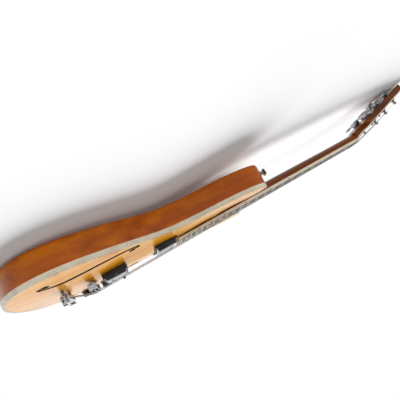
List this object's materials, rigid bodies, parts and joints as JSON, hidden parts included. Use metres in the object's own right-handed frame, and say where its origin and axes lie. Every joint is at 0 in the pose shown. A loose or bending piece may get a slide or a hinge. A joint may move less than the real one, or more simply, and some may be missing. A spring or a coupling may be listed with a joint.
{
  "type": "semi-hollow electric guitar",
  "caption": "Semi-hollow electric guitar with an arched, bound top, two f-holes, two covered pickups, a post-mounted bridge with a stop tailpiece and a set neck.",
  "frame": {"origin": "on the flat back of the body, on the centre line, under the saddles of the bridge", "axes": "+X from the bridge towards the head, +Y towards the bass side, +Z out of the top"},
  "size_m": [0.9468, 0.3935, 0.1304],
  "materials": {
    "mahogany": "gloss lacquer",
    "neck_mahogany": "gloss lacquer",
    "amber_maple": "gloss amber lacquer",
    "cream_binding": "gloss",
    "rosewood": "oiled",
    "bone": "satin",
    "black_plastic": "gloss",
    "chrome": "polished",
    "string_steel": "plain"
  },
  "bodies": {
    "guitar": {"neck": "neck_mahogany", "truss_rod": "string_steel", "fretboard": "rosewood", "fretboard_binding": "cream_binding", "body_back": "mahogany", "body_top": "amber_maple", "top_binding": "cream_binding", "bridge_pickup_ring": "black_plastic", "neck_pickup_ring": "black_plastic", "headstock_face": "black_plastic", "headstock_binding": "cream_binding", "truss_rod_cover": "black_plastic", "tuner_housing_1": "chrome", "tuner_housing_2": "chrome", "tuner_housing_3": "chrome", "tuner_housing_4": "chrome", "tuner_housing_5": "chrome", "tuner_housing_6": "chrome", "tailpiece_bar": "chrome", "tailpiece_stud_bass": "chrome", "tailpiece_stud_treble": "chrome", "nut": "bone", "string_1": "string_steel", "string_2": "string_steel", "string_3": "string_steel", "string_4": "string_steel", "string_5": "string_steel", "string_6": "string_steel", "control_harness": "chrome", "toggle_switch": "black_plastic", "output_jack": "chrome", "strap_button_horn": "chrome", "strap_button_tail": "chrome"},
    "tuner_button_1": {"tuner_button_1": "chrome"},
    "tuner_button_2": {"tuner_button_2": "chrome"},
    "tuner_button_3": {"tuner_button_3": "chrome"},
    "tuner_button_4": {"tuner_button_4": "chrome"},
    "tuner_button_5": {"tuner_button_5": "chrome"},
    "tuner_button_6": {"tuner_button_6": "chrome"},
    "tuner_post_1": {"tuner_post_1": "chrome"},
    "tuner_post_2": {"tuner_post_2": "chrome"},
    "tuner_post_3": {"tuner_post_3": "chrome"},
    "tuner_post_4": {"tuner_post_4": "chrome"},
    "tuner_post_5": {"tuner_post_5": "chrome"},
    "tuner_post_6": {"tuner_post_6": "chrome"},
    "bridge": {"bridge_beam": "chrome"},
    "bridge_wheel_bass": {"bridge_wheel_bass": "chrome"},
    "bridge_wheel_treble": {"bridge_wheel_treble": "chrome"},
    "saddle_1": {"saddle_1": "chrome"},
    "saddle_2": {"saddle_2": "chrome"},
    "saddle_3": {"saddle_3": "chrome"},
    "saddle_4": {"saddle_4": "chrome"},
    "saddle_5": {"saddle_5": "chrome"},
    "saddle_6": {"saddle_6": "chrome"},
    "bridge_pickup": {"bridge_pickup": "chrome"},
    "neck_pickup": {"neck_pickup": "chrome"},
    "tone_knob": {"tone_knob": "black_plastic"},
    "neck_volume_knob": {"neck_volume_knob": "black_plastic"},
    "bridge_volume_knob": {"bridge_volume_knob": "black_plastic"},
    "toggle_lever": {"toggle_lever": "black_plastic"}
  },
  "joints": [
    {"name": "tuner_button_turn_1", "type": "hinge", "parent": "guitar", "child": "tuner_button_1", "pos_m": [0.67425, 0.03405, -0.01752], "axis": [0, 1, 0], "continuous": true},
    {"name": "tuner_button_turn_2", "type": "hinge", "parent": "guitar", "child": "tuner_button_2", "pos_m": [0.70807, 0.03705, -0.02985], "axis": [0, 1, 0], "continuous": true},
    {"name": "tuner_button_turn_3", "type": "hinge", "parent": "guitar", "child": "tuner_button_3", "pos_m": [0.74189, 0.04005, -0.04218], "axis": [0, 1, 0], "continuous": true},
    {"name": "tuner_button_turn_4", "type": "hinge", "parent": "guitar", "child": "tuner_button_4", "pos_m": [0.74189, -0.04005, -0.04218], "axis": [0, -1, 0], "continuous": true},
    {"name": "tuner_button_turn_5", "type": "hinge", "parent": "guitar", "child": "tuner_button_5", "pos_m": [0.70807, -0.03705, -0.02985], "axis": [0, -1, 0], "continuous": true},
    {"name": "tuner_button_turn_6", "type": "hinge", "parent": "guitar", "child": "tuner_button_6", "pos_m": [0.67425, -0.03405, -0.01752], "axis": [0, -1, 0], "continuous": true},
    {"name": "tuner_post_turn_1", "type": "hinge", "parent": "guitar", "child": "tuner_post_1", "pos_m": [0.68657, 0.025, 0.00023], "axis": [0.3425, 0, 0.9395], "continuous": true},
    {"name": "tuner_post_turn_2", "type": "hinge", "parent": "guitar", "child": "tuner_post_2", "pos_m": [0.7204, 0.028, -0.0121], "axis": [0.3425, 0, 0.9395], "continuous": true},
    {"name": "tuner_post_turn_3", "type": "hinge", "parent": "guitar", "child": "tuner_post_3", "pos_m": [0.75422, 0.031, -0.02443], "axis": [0.3425, 0, 0.9395], "continuous": true},
    {"name": "tuner_post_turn_4", "type": "hinge", "parent": "guitar", "child": "tuner_post_4", "pos_m": [0.75422, -0.031, -0.02443], "axis": [0.3425, 0, 0.9395], "continuous": true},
    {"name": "tuner_post_turn_5", "type": "hinge", "parent": "guitar", "child": "tuner_post_5", "pos_m": [0.7204, -0.028, -0.0121], "axis": [0.3425, 0, 0.9395], "continuous": true},
    {"name": "tuner_post_turn_6", "type": "hinge", "parent": "guitar", "child": "tuner_post_6", "pos_m": [0.68657, -0.025, 0.00023], "axis": [0.3425, 0, 0.9395], "continuous": true},
    {"name": "bridge_height", "type": "slide", "parent": "guitar", "child": "bridge", "axis": [0, 0, 1], "range_m": [-0.0025, 0]},
    {"name": "bridge_wheel_turn_bass", "type": "hinge", "parent": "bridge", "child": "bridge_wheel_bass", "pos_m": [0, 0.037, 0.0606], "axis": [0, 0, 1], "range_deg": [-1286, 0]},
    {"name": "bridge_wheel_turn_treble", "type": "hinge", "parent": "bridge", "child": "bridge_wheel_treble", "pos_m": [0, -0.037, 0.0606], "axis": [0, 0, 1], "range_deg": [-1286, 0]},
    {"name": "saddle_slide_1", "type": "slide", "parent": "bridge", "child": "saddle_1", "axis": [1, 0, 0], "range_m": [-0.003, 0.003]},
    {"name": "saddle_slide_2", "type": "slide", "parent": "bridge", "child": "saddle_2", "axis": [1, 0, 0], "range_m": [-0.003, 0.003]},
    {"name": "saddle_slide_3", "type": "slide", "parent": "bridge", "child": "saddle_3", "axis": [1, 0, 0], "range_m": [-0.003, 0.003]},
    {"name": "saddle_slide_4", "type": "slide", "parent": "bridge", "child": "saddle_4", "axis": [1, 0, 0], "range_m": [-0.003, 0.003]},
    {"name": "saddle_slide_5", "type": "slide", "parent": "bridge", "child": "saddle_5", "axis": [1, 0, 0], "range_m": [-0.003, 0.003]},
    {"name": "saddle_slide_6", "type": "slide", "parent": "bridge", "child": "saddle_6", "axis": [1, 0, 0], "range_m": [-0.003, 0.003]},
    {"name": "bridge_pickup_height", "type": "slide", "parent": "guitar", "child": "bridge_pickup", "axis": [0.0262, 0, 0.9997], "range_m": [-0.003, 0.0015]},
    {"name": "neck_pickup_height", "type": "slide", "parent": "guitar", "child": "neck_pickup", "axis": [0.0785, 0, 0.9969], "range_m": [-0.003, 0.0015]},
    {"name": "tone_knob_turn", "type": "hinge", "parent": "guitar", "child": "tone_knob", "pos_m": [-0.07, -0.15, 0.04807], "axis": [0, 0, 1], "range_deg": [-300, 0]},
    {"name": "neck_volume_knob_turn", "type": "hinge", "parent": "guitar", "child": "neck_volume_knob", "pos_m": [-0.026, -0.16, 0.04843], "axis": [0, 0, 1], "range_deg": [-300, 0]},
    {"name": "bridge_volume_knob_turn", "type": "hinge", "parent": "guitar", "child": "bridge_volume_knob", "pos_m": [0.018, -0.152, 0.0478], "axis": [0, 0, 1], "range_deg": [-300, 0]},
    {"name": "toggle_tilt", "type": "hinge", "parent": "guitar", "child": "toggle_lever", "pos_m": [0.056, -0.092, 0.04918], "axis": [0, 1, 0], "range_deg": [-12, 12]}
  ],
  "couplings": [
    {"joint": "tuner_post_turn_1", "follows": "tuner_button_turn_1", "ratio": 0.071429},
    {"joint": "tuner_post_turn_2", "follows": "tuner_button_turn_2", "ratio": 0.071429},
    {"joint": "tuner_post_turn_3", "follows": "tuner_button_turn_3", "ratio": 0.071429},
    {"joint": "tuner_post_turn_4", "follows": "tuner_button_turn_4", "ratio": -0.071429},
    {"joint": "tuner_post_turn_5", "follows": "tuner_button_turn_5", "ratio": -0.071429},
    {"joint": "tuner_post_turn_6", "follows": "tuner_button_turn_6", "ratio": -0.071429},
    {"joint": "bridge_wheel_turn_bass", "follows": "bridge_height", "rad_per_m": 8976},
    {"joint": "bridge_wheel_turn_treble", "follows": "bridge_height", "rad_per_m": 8976}
  ]
}
